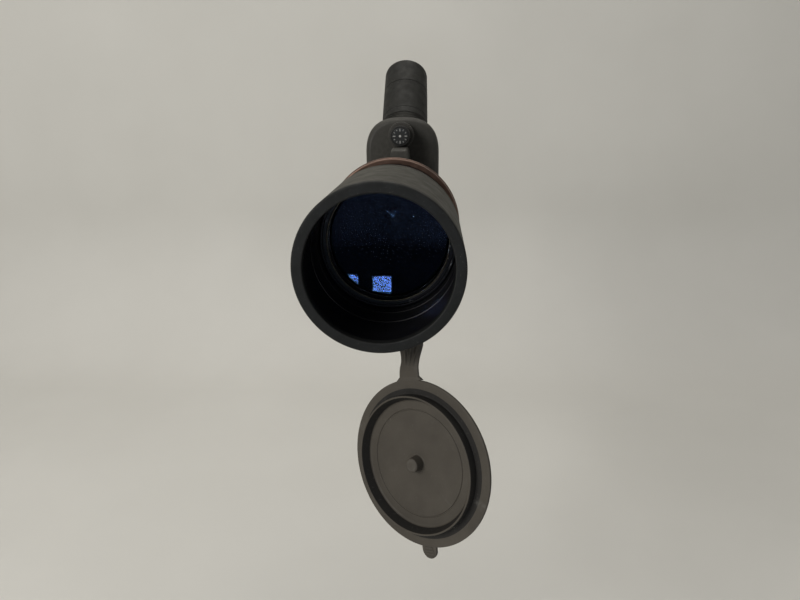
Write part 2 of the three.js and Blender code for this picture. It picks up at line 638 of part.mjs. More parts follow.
function addEyepiece() {
  const eyepiece = new THREE.Group();
  eyepiece.position.y = BEND_Y;
  eyepiece.rotation.x = EYEPIECE_ANGLE;
  const base = EYEPIECE_BASE;
  const socketFront = base - 8.1;
  const buttonY = base - 4.3;

  add(eyepiece, 'eyepiece_socket', cut(ring([
    [21, socketFront], [31, socketFront], [31, base - 1.6], [30, base - GAP], [21, base - GAP],
  ], FEWER), rodZ(3.1, -32, -24.6, 0, buttonY, 16)), blackAnodised());
  add(eyepiece, 'release_button', rodZ(2.8, -32.8, -27, 0, buttonY, 16), steel());

  const ringFront = base + 6.7;
  const ringBack = base + 61.4;
  const neck = ringBack + GAP;
  const barrelEnd = base + 80.7;
  add(eyepiece, 'eyepiece_barrel', ring([
    [21, base], [EYEPIECE_RADIUS - 0.2, base], [EYEPIECE_RADIUS - 0.2, ringFront - GAP],
    [24, ringFront - GAP], [24, neck], [22, neck],
    [22, barrelEnd], [19.4, barrelEnd], [19.4, barrelEnd - 12.2], [17, barrelEnd - 12.2],
    [17, barrelEnd - 14.5], [21, barrelEnd - 14.5],
  ], FEWER), blackAnodised());
  add(eyepiece, 'zoom_ring', ring([
    [24.3, ringFront], [EYEPIECE_RADIUS, ringFront], [EYEPIECE_RADIUS - 0.6, ringBack],
    [24.3, ringBack],
  ], FEWER), armourRubber());

  for (const [name, front, lensRadius] of [['front', base + 12.7, 14], ['rear', base + 36.7, 12]]) {
    const back = front + 10;
    add(eyepiece, `zoom_cell_${name}`, ring([
      [lensRadius, front], [20.7, front], [20.7, back], [lensRadius - 1.5, back],
      [lensRadius - 1.5, back - 1.5], [lensRadius, back - 1.5],
    ], FEWER), blackAnodised());
    add(eyepiece, `zoom_lens_${name}`, lens(lensRadius - 0.3, front + 2.4, back - 1.8, 1.6, -1, FEWER),
      coatedGlass());
  }

  add(eyepiece, 'eye_lens', lens(19.1, barrelEnd - 11.2, barrelEnd - 5.5, 2, 1.8, FEWER), coatedGlass());
  add(eyepiece, 'eye_lens_ring', sleeve(17.2, 19.1, barrelEnd - 5.2, barrelEnd - 2, FEWER),
    blackAnodised());

  add(eyepiece, 'eyecup_guide_ring', sleeve(22.3, 23.6, neck + 1.3, neck + 5.3, FEWER), brass());
  const cupFront = neck + 0.2;
  const cupTop = base + 99.7;
  add(eyepiece, 'eyecup', ring([
    [23.9, cupFront], [EYEPIECE_RADIUS - 0.7, cupFront], [EYEPIECE_RADIUS - 1.2, cupTop - 5.5],
    [EYEPIECE_RADIUS - 2.2, cupTop - 2.2], [EYEPIECE_RADIUS - 4, cupTop - 0.4],
    [EYEPIECE_RADIUS - 5.6, cupTop], [EYEPIECE_RADIUS - 6.4, cupTop - 1.2],
    [20.6, barrelEnd + 5], [20, barrelEnd + 0.5], [23.9, barrelEnd + 0.5],
  ], FEWER), rimRubber());
  scope.add(eyepiece);
}

// ---------------------------------------------------------------- objective cap

// The cap is a flange that rests on the hood's rim, with a plug ring that fits inside the bore.
const flangeFace = 4;
const flangeBack = 1.6;
const plugTop = flangeFace + 5.6;
const plugRadius = RIM_BORE - 0.6;
const hingeRadius = CAP_RADIUS + 3.2;
const hingeY = (flangeFace + flangeBack) / 2;

function addCap() {
  const cap = new THREE.Group();
  const lean = new THREE.Matrix4().makeRotationY(CAP_LEAN);
  const hang = new THREE.Matrix4().makeRotationX(Math.PI + CAP_TILT);
  const turnAway = new THREE.Matrix4().makeRotationZ(CAP_TURN);
  const facing = turnAway.multiply(hang).multiply(lean);
  cap.quaternion.setFromRotationMatrix(facing);
  const flangeCentre = new THREE.Vector3(0, flangeFace, 0).applyQuaternion(cap.quaternion);
  cap.position.copy(CAP_CENTRE).sub(flangeCentre);

  const disc = turned([
    [0, 12], [4.8, 12], [5.4, 11.4], [5.8, flangeFace], [39.6, flangeFace],
    [39.9, flangeFace - 0.6], [40.5, flangeFace - 0.6], [40.8, flangeFace], [47, flangeFace],
    [plugRadius - 1.4, plugTop], [plugRadius - 0.5, plugTop], [plugRadius, plugTop - 0.6],
    [plugRadius, flangeFace], [CAP_RADIUS, flangeFace], [CAP_RADIUS, flangeBack + 0.4],
    [CAP_RADIUS - 0.4, flangeBack], [0, flangeBack],
  ], SEGMENTS);
  const lug = block(-9, 9, flangeBack, flangeFace, -(hingeRadius - 1.3), -(CAP_RADIUS - 1.2));
  const tabRound = new THREE.CylinderGeometry(6.5, 6.5, flangeFace - flangeBack, 24);
  const tab = join(block(-6.5, 6.5, flangeBack, flangeFace, CAP_RADIUS - 1.2, CAP_RADIUS + 2),
    tabRound.translate(0, hingeY, CAP_RADIUS + 2));
  add(cap, 'objective_cap', join(disc, lug, tab), capRubber());
  scope.add(cap);

  // The strap hangs from the anchor on the hood to the hinge at the cap's edge.
  const top = anchorOut.clone().multiplyScalar(strapRadius).setY(STRAP_ANCHOR_Y);
  const bottom = new THREE.Vector3(0, hingeY, -hingeRadius).applyQuaternion(cap.quaternion)
    .add(cap.position);
  const along = bottom.clone().sub(top);
  const length = along.length();
  along.normalize();
  const squareTo = (v) => v.clone().addScaledVector(along, -v.dot(along)).normalize();
  const topAcross = squareTo(anchorAcross);
  const bottomAcross = squareTo(new THREE.Vector3(1, 0, 0).applyQuaternion(cap.quaternion));
  if (topAcross.dot(bottomAcross) < 0) bottomAcross.negate();
  const section = (share, width) => ({
    centre: top.clone().addScaledVector(along, share * length),
    across: topAcross.clone().lerp(bottomAcross, share).normalize(),
    width,
  });
  add(scope, 'cap_strap_upper',
    strap([section(0.055, 15.5), section(0.2, 14), section(0.35, 13), section(0.495, 12.6)],
      along, STRAP_THICKNESS), capRubber());
  add(scope, 'cap_strap_lower',
    strap([section(0.505, 12.6), section(0.65, 12.6), section(0.8, 13.4), section(0.93, 15.5)],
      along, STRAP_THICKNESS), capRubber());
}

addHood();
addObjective();
addMainTube();
addCollar();
addFoot();
addPlate();
addHousing();
addPrism();
addFocusCarriage();
addFocusKnobs();
addEyepiece();
addCap();

export default object;
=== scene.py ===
"""Visual model of an angled spotting scope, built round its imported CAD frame.

Outlines are in millimetres, in the scope's own terms: y is counted from the front of the
extended hood along the optical axis, and z from that axis. Everything placed is in metres.
"""

import json
import math

import bmesh
import bpy
from mathutils import Matrix, Vector


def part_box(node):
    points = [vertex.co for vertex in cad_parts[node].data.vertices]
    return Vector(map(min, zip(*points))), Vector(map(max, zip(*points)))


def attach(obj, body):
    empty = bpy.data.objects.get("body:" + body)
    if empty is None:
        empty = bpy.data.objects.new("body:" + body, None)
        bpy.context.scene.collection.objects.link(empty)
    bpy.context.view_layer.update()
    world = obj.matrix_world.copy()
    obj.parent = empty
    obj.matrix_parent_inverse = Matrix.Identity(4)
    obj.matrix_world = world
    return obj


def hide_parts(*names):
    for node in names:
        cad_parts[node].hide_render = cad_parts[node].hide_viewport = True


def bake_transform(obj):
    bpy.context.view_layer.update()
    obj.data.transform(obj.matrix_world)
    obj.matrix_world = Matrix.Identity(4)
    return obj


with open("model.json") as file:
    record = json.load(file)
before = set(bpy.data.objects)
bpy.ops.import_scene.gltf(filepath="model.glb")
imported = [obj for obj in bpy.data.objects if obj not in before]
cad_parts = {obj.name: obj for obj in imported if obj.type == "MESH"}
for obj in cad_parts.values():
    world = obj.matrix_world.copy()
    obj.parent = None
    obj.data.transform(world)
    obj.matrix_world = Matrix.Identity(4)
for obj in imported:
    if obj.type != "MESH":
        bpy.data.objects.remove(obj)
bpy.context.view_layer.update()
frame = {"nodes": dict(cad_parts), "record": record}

MM = 0.001
SIDES = 144

rim_low, rim_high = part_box("hood_rim")
HOOD_RADIUS = (rim_high.x - rim_low.x) / 2 / MM
FRONT = rim_low.y
AXIS_HEIGHT = (rim_low.z + rim_high.z) / 2
JOINTS = {joint["name"]: joint for joint in frame["record"]["behaviour"]["joints"]}


def length_of(node):
    """Where a node on the optical axis starts and ends, in mm from the hood's front."""
    low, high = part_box(node)
    return (low.y - FRONT) / MM, (high.y - FRONT) / MM


def scope_point(x, y, z):
    return Vector((x * MM, FRONT + y * MM, AXIS_HEIGHT + z * MM))


# ---------------------------------------------------------------- frames that pieces stand in

SCOPE = Matrix.Translation(scope_point(0, 0, 0)) @ Matrix.Scale(MM, 4)
BEND_Y = 332
EYEPIECE_ANGLE = math.radians(45)
EYEPIECE = (
    Matrix.Translation(scope_point(0, BEND_Y, 0))
    @ Matrix.Rotation(EYEPIECE_ANGLE, 4, "X")
    @ Matrix.Scale(MM, 4)
)
EYEPIECE_BASE = 103.3
KNOB_HEIGHT = (JOINTS["coarse_focus_turn"]["pos_m"][2] - AXIS_HEIGHT) / MM
KNOBS = Matrix.Translation(scope_point(0, 0, KNOB_HEIGHT)) @ Matrix.Scale(MM, 4)

CAP_RADIUS = 62.5
FLANGE_FACE = 4
FLANGE_BACK = 1.6
PLUG_RADIUS = 51.6
# How far the strap and its lug sit to one side of the hinge's middle.
STRAP_SHIFT = 2
CAP_TURN = (
    Matrix.Rotation(math.radians(-37.1), 4, "Z")
    @ Matrix.Rotation(math.radians(180 - 11.9), 4, "X")
    @ Matrix.Rotation(math.radians(18.624), 4, "Y")
)
cap_hinge = Vector(JOINTS["cap_fold"]["pos_m"])
HINGE_IN_CAP = Vector((0, (FLANGE_FACE + FLANGE_BACK) / 2, -(CAP_RADIUS + 3.2)))
CAP = (
    Matrix.Translation(cap_hinge - CAP_TURN.to_3x3() @ HINGE_IN_CAP * MM)
    @ CAP_TURN
    @ Matrix.Scale(MM, 4)
)


# ---------------------------------------------------------------- mesh helpers


def finished(name, mesh, place, material, body, stands_for=(), smooth=True, slot=None):
    """Puts a bmesh in the scene at its place, with its finish and the body it rides on."""
    bmesh.ops.remove_doubles(mesh, verts=mesh.verts, dist=1e-5)
    bmesh.ops.recalc_face_normals(mesh, faces=mesh.faces)
    mesh.transform(place)
    for face in mesh.faces:
        face.smooth = smooth
    data = bpy.data.meshes.new(name)
    mesh.to_mesh(data)
    mesh.free()
    piece = bpy.data.objects.new(name, data)
    bpy.context.collection.objects.link(piece)
    data.materials.append(material)
    if smooth:
        normals = piece.modifiers.new("normals", "WEIGHTED_NORMAL")
        normals.keep_sharp = True
    if body:
        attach(piece, body)
    if stands_for:
        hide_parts(*stands_for)
    return piece


def rounded(outline, radius, steps=4):
    """The outline with each corner off the axis turned into an arc. A corner can carry its own
    radius as a third number."""
    points = []
    count = len(outline)
    for i, corner in enumerate(outline):
        here = Vector(corner[:2])
        fillet = corner[2] if len(corner) > 2 else radius
        before = Vector(outline[i - 1][:2])
        after = Vector(outline[(i + 1) % count][:2])
        if here.x < 1e-6 or fillet <= 0:
            points.append(here)
            continue
        reach = min(fillet, (before - here).length * 0.45, (after - here).length * 0.45)
        start = here + (before - here).normalized() * reach
        end = here + (after - here).normalized() * reach
        for step in range(steps + 1):
            t = step / steps
            points.append(start * (1 - t) ** 2 + here * 2 * t * (1 - t) + end * t**2)
    return points


def skin_rows(mesh, rows, wrap_rows=False, close_ends=False):
    """Joins rows of points, each a closed loop of the same length, with quads."""
    verts = [[mesh.verts.new(point) for point in row] for row in rows]
    count = len(rows[0])
    pairs = list(zip(verts, verts[1:]))
    if wrap_rows:
        pairs.append((verts[-1], verts[0]))
    for first, second in pairs:
        for i in range(count):
            j = (i + 1) % count
            mesh.faces.new((first[i], first[j], second[j], second[i]))
    if close_ends:
        mesh.faces.new(verts[0])
        mesh.faces.new(verts[-1])


def lathe_into(mesh, outline, sides=SIDES, wave=None):
    """Adds a body turned about Y from a closed outline of (radius, y) points. wave(angle) adds
    to the radius where the outline lies at its widest, as flutes do."""
    widest = max(point.x for point in outline)
    rows = []
    for point in outline:
        row = []
        for i in range(sides):
            angle = 2 * math.pi * i / sides
            radius = max(point.x, 1e-4)
            if wave and point.x > widest * 0.72:
                radius += wave(angle)
            row.append(Vector((radius * math.cos(angle), point.y, radius * math.sin(angle))))
        rows.append(row)
    on_axis = outline[0].x < 1e-6 and outline[-1].x < 1e-6
    skin_rows(mesh, rows, wrap_rows=not on_axis)


def turned(name, outline, place, material, body, stands_for=(), fillet=0.4, **more):
    mesh = bmesh.new()
    lathe_into(mesh, rounded(outline, fillet), more.pop("sides", SIDES), more.pop("wave", None))
    return finished(name, mesh, place, material, body, stands_for, **more)


def sleeve(inner, outer, front, back):
    return [(inner, front), (outer, front), (outer, back), (inner, back)]


def lens_outline(radius, front, back, front_bulge, back_bulge, steps=14):
    outline = []
    for i in range(steps + 1):
        share = i / steps
        outline.append((radius * share, front - front_bulge * (1 - share**2), 0))
    for i in range(steps, -1, -1):
        share = i / steps
        outline.append((radius * share, back + back_bulge * (1 - share**2), 0))
    return outline


def rounded_slab(mesh, outline, low, high, edge=0.4, steps=3):
    """Adds a plate whose flat outline lies in x and z, between two heights along y, with its
    two rims rounded."""
    centre = sum((Vector(p) for p in outline), Vector((0, 0))) / len(outline)
    rows = []
    stations = [(low, edge)]
    stations += [(low + edge * (1 - math.cos(a)), edge * (1 - math.sin(a)))
                 for a in (math.pi / 2 * i / steps for i in range(1, steps + 1))]
    stations += [(low + high - y, inset) for y, inset in reversed(stations)]
    for y, inset in stations:
        row = []
        for point in outline:
            away = Vector(point) - centre
            spot = centre + away * (1 - inset / away.length)
            row.append(Vector((spot.x, y, spot.y)))
        rows.append(row)
    skin_rows(mesh, rows, close_ends=True)


# ---------------------------------------------------------------- materials


class Nodes:
    """Short names for making and joining a material's nodes."""

    def __init__(self, name):
        self.material = bpy.data.materials.new(name)
        self.material.use_nodes = True
        self.tree = self.material.node_tree
        self.shader = self.tree.nodes["Principled BSDF"]
        self.place = self.tree.nodes.new("ShaderNodeTexCoord").outputs["Object"]

    def set(self, **sockets):
        for name, value in sockets.items():
            self.shader.inputs[name.replace("_", " ")].default_value = value
        return self

    def noise(self, size_mm, detail=4, stretch=(1, 1, 1)):
        mapping = self.tree.nodes.new("ShaderNodeMapping")
        mapping.inputs["Scale"].default_value = stretch
        self.tree.links.new(self.place, mapping.inputs["Vector"])
        noise = self.tree.nodes.new("ShaderNodeTexNoise")
        noise.inputs["Scale"].default_value = 1 / (size_mm * MM)
        noise.inputs["Detail"].default_value = detail
        self.tree.links.new(mapping.outputs["Vector"], noise.inputs["Vector"])
        return noise.outputs["Fac"]

    def cells(self, size_mm):
        cells = self.tree.nodes.new("ShaderNodeTexVoronoi")
        cells.inputs["Scale"].default_value = 1 / (size_mm * MM)
        self.tree.links.new(self.place, cells.inputs["Vector"])
        return cells.outputs["Distance"]

    def remap(self, value, low, high, to_low=0.0, to_high=1.0):
        node = self.tree.nodes.new("ShaderNodeMapRange")
        node.inputs["From Min"].default_value = low
        node.inputs["From Max"].default_value = high
        node.inputs["To Min"].default_value = to_low
        node.inputs["To Max"].default_value = to_high
        self.tree.links.new(value, node.inputs["Value"])
        return node.outputs["Result"]

    def edges(self, low=0.52, high=0.6):
        geometry = self.tree.nodes.new("ShaderNodeNewGeometry")
        return self.remap(geometry.outputs["Pointiness"], low, high)

    def multiply(self, first, second):
        node = self.tree.nodes.new("ShaderNodeMath")
        node.operation = "MULTIPLY"
        for value, socket in zip((first, second), node.inputs):
            if isinstance(value, (int, float)):
                socket.default_value = value
            else:
                self.tree.links.new(value, socket)
        return node.outputs["Value"]

    def mix(self, share, first, second):
        node = self.tree.nodes.new("ShaderNodeMix")
        node.data_type = "RGBA"
        self.tree.links.new(share, node.inputs["Factor"])
        for value, socket in ((first, node.inputs["A"]), (second, node.inputs["B"])):
            if isinstance(value, tuple):
                socket.default_value = (*value, 1)
            else:
                self.tree.links.new(value, socket)
        return node.outputs["Result"]

    def colour(self, output):
        self.tree.links.new(output, self.shader.inputs["Base Color"])
        return self

    def roughness(self, output):
        self.tree.links.new(output, self.shader.inputs["Roughness"])
        return self

    def bump(self, *layers):
        """Each layer is a height and its depth in mm."""
        normal = None
        for height, depth_mm in layers:
            node = self.tree.nodes.new("ShaderNodeBump")
            node.inputs["Strength"].default_value = 1.0
            node.inputs["Distance"].default_value = depth_mm * MM
            self.tree.links.new(height, node.inputs["Height"])
            if normal:
                self.tree.links.new(normal, node.inputs["Normal"])
            normal = node.outputs["Normal"]
        self.tree.links.new(normal, self.shader.inputs["Normal"])
        return self


def rubber(name, dark, light, grain_mm, depth_mm, rough=(0.55, 0.75), dust=(0.11, 0.105, 0.094)):
    """Moulded rubber: fine grain, slow changes of tone, a little dust and paler worn edges."""
    n = Nodes(name)
    tone = n.mix(n.remap(n.noise(26), 0.35, 0.65), dark, light)
    specks = n.remap(n.noise(1.6, 8), 0.62, 0.78, 0, 0.35)
    dusty = n.mix(specks, tone, dust)
    worn = n.multiply(n.edges(), n.remap(n.noise(3), 0.4, 0.7, 0.1, 0.5))
    n.colour(n.mix(worn, dusty, dust))
    n.roughness(n.remap(n.noise(9), 0.3, 0.7, *rough))
    n.bump((n.noise(grain_mm, 3), depth_mm), (n.noise(14, 2), depth_mm * 2))
    return n.set(IOR=1.5, Specular_IOR_Level=0.28).material


def grained_rubber(name, dark, light):
    """Armour rubber with a pebbled grain."""
    n = Nodes(name)
    tone = n.mix(n.remap(n.noise(30), 0.35, 0.65), dark, light)
    worn = n.multiply(n.edges(), n.remap(n.noise(4), 0.4, 0.7, 0.1, 0.6))
    n.colour(n.mix(worn, tone, (0.11, 0.105, 0.094)))
    n.roughness(n.remap(n.noise(12), 0.3, 0.7, 0.5, 0.66))
    n.bump((n.cells(0.9), 0.05), (n.noise(0.35, 3), 0.02), (n.noise(18, 2), 0.12))
    return n.set(IOR=1.5, Specular_IOR_Level=0.35).material


def turned_metal(name, tint, worn_tint, rough, grain=(1, 40, 1), wear=1.0):
    """Anodised or bare metal with fine marks left by turning and bright worn edges."""
    n = Nodes(name)
    marks = n.noise(6, 6, stretch=grain)
    tone = n.mix(n.remap(n.noise(20), 0.3, 0.7), tint, tuple(0.8 * c for c in tint))
    worn = n.multiply(n.edges(0.53, 0.62), n.remap(n.noise(2, 6), 0.45, 0.65, 0, wear))
    n.colour(n.mix(worn, tone, worn_tint))
    n.roughness(n.remap(marks, 0.3, 0.7, rough * 0.8, rough * 1.25))
    n.bump((marks, 0.01), (n.noise(0.4, 4), 0.004))
    return n.set(Metallic=0.9).material


def painted(name, tint):
    """Satin paint over metal: orange peel, and a few small chips."""
    n = Nodes(name)
    chips = n.remap(n.noise(3.5, 3), 0.76, 0.78)
    tone = n.mix(n.remap(n.noise(25), 0.3, 0.7), tint, tuple(1.25 * c for c in tint))
    n.colour(n.mix(chips, tone, (0.35, 0.35, 0.34)))
    n.roughness(n.remap(n.noise(5), 0.3, 0.7, 0.36, 0.5))
    n.bump((n.noise(0.9, 2), 0.02), (n.noise(7, 2), 0.04))
    return n.material


def coated_glass(name, tint, index, reflection):
    """Lens glass with a coating that tints its reflections, and slow changes of polish."""
    n = Nodes(name)
    n.roughness(n.remap(n.noise(18, 2), 0.3, 0.7, 0.0, 0.012))
    n.colour(n.mix(n.remap(n.noise(40), 0.3, 0.7), tint, tuple(0.85 * c for c in tint)))
    return n.set(Transmission_Weight=1.0, IOR=index, Specular_Tint=(*reflection, 1)).material


def plastic(name, tint, rough):
    n = Nodes(name)
    n.colour(n.mix(n.remap(n.noise(8), 0.3, 0.7), tint, tuple(0.88 * c for c in tint)))
    n.roughness(n.remap(n.noise(2), 0.3, 0.7, rough * 0.85, rough * 1.15))
    n.bump((n.noise(0.5, 3), 0.01))
    return n.material


def felt(name, tint):
    """Flocked matt lining that swallows light inside the hood."""
    n = Nodes(name)
    n.colour(n.mix(n.noise(0.6, 6), tint, tuple(1.6 * c for c in tint)))
    n.roughness(n.remap(n.noise(0.8), 0.3, 0.7, 0.3, 0.42))
    n.bump((n.noise(0.5, 4), 0.01))
    return n.set(Specular_IOR_Level=0.3).material


ARMOUR = grained_rubber("armour", (0.03, 0.0285, 0.0245), (0.038, 0.036, 0.031))
HOOD_RUBBER = rubber("hood_rubber", (0.03, 0.0285, 0.0215), (0.037, 0.035, 0.0265), 0.5, 0.012)
RIM_RUBBER = rubber("rim_rubber", (0.0045, 0.005, 0.005), (0.006, 0.0065, 0.0065), 0.4, 0.01)
KNOB_RUBBER = rubber("knob_rubber", (0.011, 0.011, 0.011), (0.016, 0.016, 0.0155), 0.4, 0.012)
COARSE_RUBBER = rubber("coarse_knob_rubber", (0.028, 0.027, 0.024), (0.036, 0.034, 0.03), 0.4, 0.012)
EYEPIECE_RUBBER = rubber("eyepiece_rubber", (0.01, 0.01, 0.0085), (0.013, 0.013, 0.011), 0.5, 0.012)
CAP_RUBBER = rubber("cap_rubber", (0.052, 0.045, 0.036), (0.063, 0.055, 0.044), 0.7, 0.02)
# Darker rubber for the cap's ring walls and the flange at their foot: painted shade.
CAP_PAINTED_SHADE = rubber("cap_painted_shade_rubber", (0.011, 0.01, 0.009), (0.015, 0.0135, 0.012), 0.7, 0.02)
BLACK_METAL = turned_metal("black_anodised", (0.02, 0.02, 0.022), (0.3, 0.3, 0.3), 0.36)
PLATE_METAL = turned_metal("plate_anodised", (0.03, 0.03, 0.032), (0.12, 0.12, 0.12), 0.42, wear=0.12)
DULL_METAL = turned_metal("dull_anodised", (0.02, 0.02, 0.018), (0.2, 0.2, 0.19), 0.5)
TARNISHED = turned_metal("tarnished_brass", (0.09, 0.078, 0.052), (0.2, 0.17, 0.11), 0.4)
COPPER = turned_metal("copper_anodised", (0.165, 0.105, 0.082), (0.42, 0.3, 0.25), 0.38)
BRASS = turned_metal("brass", (0.55, 0.38, 0.15), (0.8, 0.65, 0.35), 0.3)
STEEL = turned_metal("steel", (0.45, 0.45, 0.46), (0.8, 0.8, 0.8), 0.3)
PAINT = painted("satin_paint", (0.03, 0.031, 0.03))
NYLON = plastic("nylon", (0.75, 0.72, 0.64), 0.5)
BADGE = plastic("badge", (0.02, 0.021, 0.022), 0.35)
TICKS = plastic("ticks", (0.42, 0.42, 0.41), 0.45)
LINING = felt("lining", (0.0035, 0.0035, 0.0045))
FRONT_LENS = coated_glass("front_lens_glass", (0.9, 0.93, 1), 1.05, (0.5, 0.7, 1))
# The rear glass's near-black tint is painted shade: it darkens the view into the tube behind it.
REAR_LENS_PAINTED_SHADE = coated_glass("rear_lens_painted_shade_glass", (0.006, 0.007, 0.012), 1.38, (0.3, 0.46, 0.9))
SMALL_LENS = coated_glass("small_lens_glass", (0.75, 0.82, 0.85), 1.5, (0.6, 0.8, 1))

BY_SLOT = {
    "armour": ARMOUR,
    "dark_rubber": KNOB_RUBBER,
    "cap_rubber": CAP_RUBBER,
    "black_anodised": PLATE_METAL,
    "satin_paint": PAINT,
    "copper_anodised": COPPER,
    "brass": BRASS,
    "steel": STEEL,
    "nylon": NYLON,
    "glass": SMALL_LENS,
    "print": BADGE,
}


def finish_cad_nodes():
    """Every node of the frame gets its slot's finish, and softened edges where they are flat."""
    for entry in frame["record"]["subparts"]:
        node = frame["nodes"][entry["node"]]
        node.data.materials.clear()
        node.data.materials.append(BY_SLOT[entry["material_slot"]])
    for name in ("foot", "dovetail_plate", "collar_ring"):
        bevel = frame["nodes"][name].modifiers.new("softened", "BEVEL")
        bevel.width = 0.5 * MM
        bevel.segments = 3
        bevel.limit_method = "ANGLE"
        bevel.angle_limit = math.radians(35)


# ---------------------------------------------------------------- hood and objective


def make_hood():
    tube_front, tube_back = length_of("hood_tube")
    armour_front, armour_back = length_of("hood_armour")
    turned("hood_rim_ring", [
        (52.2, 0, 1.2), (HOOD_RADIUS, 0, 1.6), (HOOD_RADIUS, 6, 0.5), (52.2, 6, 0.4),
    ], SCOPE, RIM_RUBBER, "hood", ["hood_rim"], slot="dark_rubber")
    lining = [(58, tube_front), (58, tube_back), (56.4, tube_back)]
    for station in (78, 56):
        lining += [(56.4, station), (57.1, station - 0.5), (57.1, station - 1.7), (56.4, station - 2.2)]
    lining += [(56.4, tube_front)]
    turned("hood_sleeve", lining, SCOPE, LINING, "hood", ["hood_tube"], fillet=0.3,
           slot="black_anodised")
    turned("hood_armour_skin", [
        (58.3, armour_front), (HOOD_RADIUS, armour_front, 0.5), (HOOD_RADIUS, armour_back - 7, 0.3),
        (HOOD_RADIUS - 0.5, armour_back - 6.5, 0.2), (HOOD_RADIUS - 0.5, armour_back - 5.5, 0.2),
        (HOOD_RADIUS, armour_back - 5, 0.3), (HOOD_RADIUS, armour_back, 1), (58.3, armour_back),
    ], SCOPE, HOOD_RUBBER, "hood", ["hood_armour"], slot="armour")


def make_objective():
    barrel_front, barrel_back = length_of("objective_barrel")
    accent_front, accent_back = length_of("accent_ring")
    neck = accent_front - 0.3
    outline = [(53.9, barrel_front), (56, barrel_front, 0.8), (56, neck), (55.7, neck)]
    outline += [(55.7, barrel_back), (53.9, barrel_back)]
    turned("objective_tube", outline, SCOPE, BLACK_METAL, "scope", ["objective_barrel"])
    turned("copper_ring", [
        (56, accent_front), (60.2, accent_front, 0.9), (60.2, accent_front + 6, 0.3),
        (61, accent_front + 6.6, 0.5), (61, accent_back - 0.6, 0.6), (60, accent_back, 0.5),
        (56, accent_back),
    ], SCOPE, COPPER, "scope", ["accent_ring"])

    ring_front, ring_back = length_of("lens_retaining_ring")
    turned("retaining_ring", [
        (50, ring_front + 1.2), (50.4, ring_front + 0.5), (51, ring_front), (53.6, ring_front),
        (53.6, ring_back), (50, ring_back),
    ], SCOPE, BLACK_METAL, "scope", ["lens_retaining_ring"], fillet=0.2)
    thread = bmesh.new()
    for step in range(2):
        station = ring_front + 0.2 + 0.6 * step
        lathe_into(thread, rounded(sleeve(49.85 + 0.1 * step, 50.25, station, station + 0.14), 0))
    finished("retaining_ring_thread", thread, SCOPE, TARNISHED, "scope", slot="black_anodised")

    front = 92.6
    turned("front_lens", lens_outline(51.1, front, front + 6.9, 3.6, 3), SCOPE, FRONT_LENS, "scope",
           ["objective_front_lens"])
    rear = front + 6.9 + 0.3 + 1.4 + 0.3
    turned("rear_lens", lens_outline(51.1, rear, 114.5, -5, -2), SCOPE, REAR_LENS_PAINTED_SHADE, "scope",
           ["objective_rear_lens"])


def make_main_tube():
    tube_front, tube_back = length_of("main_tube")
    flange_back = tube_front + 9.7
    skin_front, skin_back = length_of("tube_armour")
    collar_front = length_of("collar_ring")[0]
    turned("body_tube", [
        (56, tube_front), (59.5, tube_front, 1), (59.5, flange_back, 1), (55, flange_back),
        (45, collar_front - 4.4), (47.5, collar_front - 4.4, 0.8), (47.5, collar_front - 0.3, 0.5),
        (44, collar_front - 0.3), (44, tube_back), (41, tube_back), (41, collar_front - 4.4),
        (51, flange_back - 3), (56, flange_back - 5),
    ], SCOPE, BLACK_METAL, "scope", ["main_tube"])
    turned("tube_armour_skin", [
        (55.3, skin_front), (57.1, skin_front, 1), (47.1, skin_back, 1), (45.3, skin_back),
    ], SCOPE, ARMOUR, "scope", ["tube_armour"])
    low, high = length_of("collar_retaining_ring")
    turned("collar_stop_ring", sleeve(44.3, 47.5, low, high), SCOPE, BLACK_METAL, "scope",
           ["collar_retaining_ring"], fillet=0.7)


# ---------------------------------------------------------------- prism housing

PIVOT_Y = BEND_Y + 11
PIVOT_Z = 123
HALF_WIDTH = 43
TOP = 92
FULLNESS = 1.3
LOOP_POINTS = 120


def oval_loop(half_width, height, place, fullness=1):
    """A round bottom, straight sides and an arched top, as points given by x and height. The
    fuller the arch, the squarer its shoulders."""
    straight = height - 2 * half_width
    points = []
    for i in range(LOOP_POINTS):
        angle = -math.pi / 2 + (i + 0.5) / LOOP_POINTS * 2 * math.pi
        across, up = math.cos(angle), math.sin(angle)
        if up < 0:
            points.append(place(half_width * across, half_width + half_width * up))
        else:
            x = math.copysign(abs(across) ** (1 / fullness), across)
            rise = up ** (1 / fullness)
            points.append(place(half_width * x, half_width + straight + half_width * rise))
    return points


def add_wall(shell):
    """Gives an open shell its moulded thickness, inwards."""
    wall = shell.modifiers.new("wall", "SOLIDIFY")
    wall.thickness = 2.4 * MM
    wall.offset = -1
    shell.modifiers.move(1, 0)


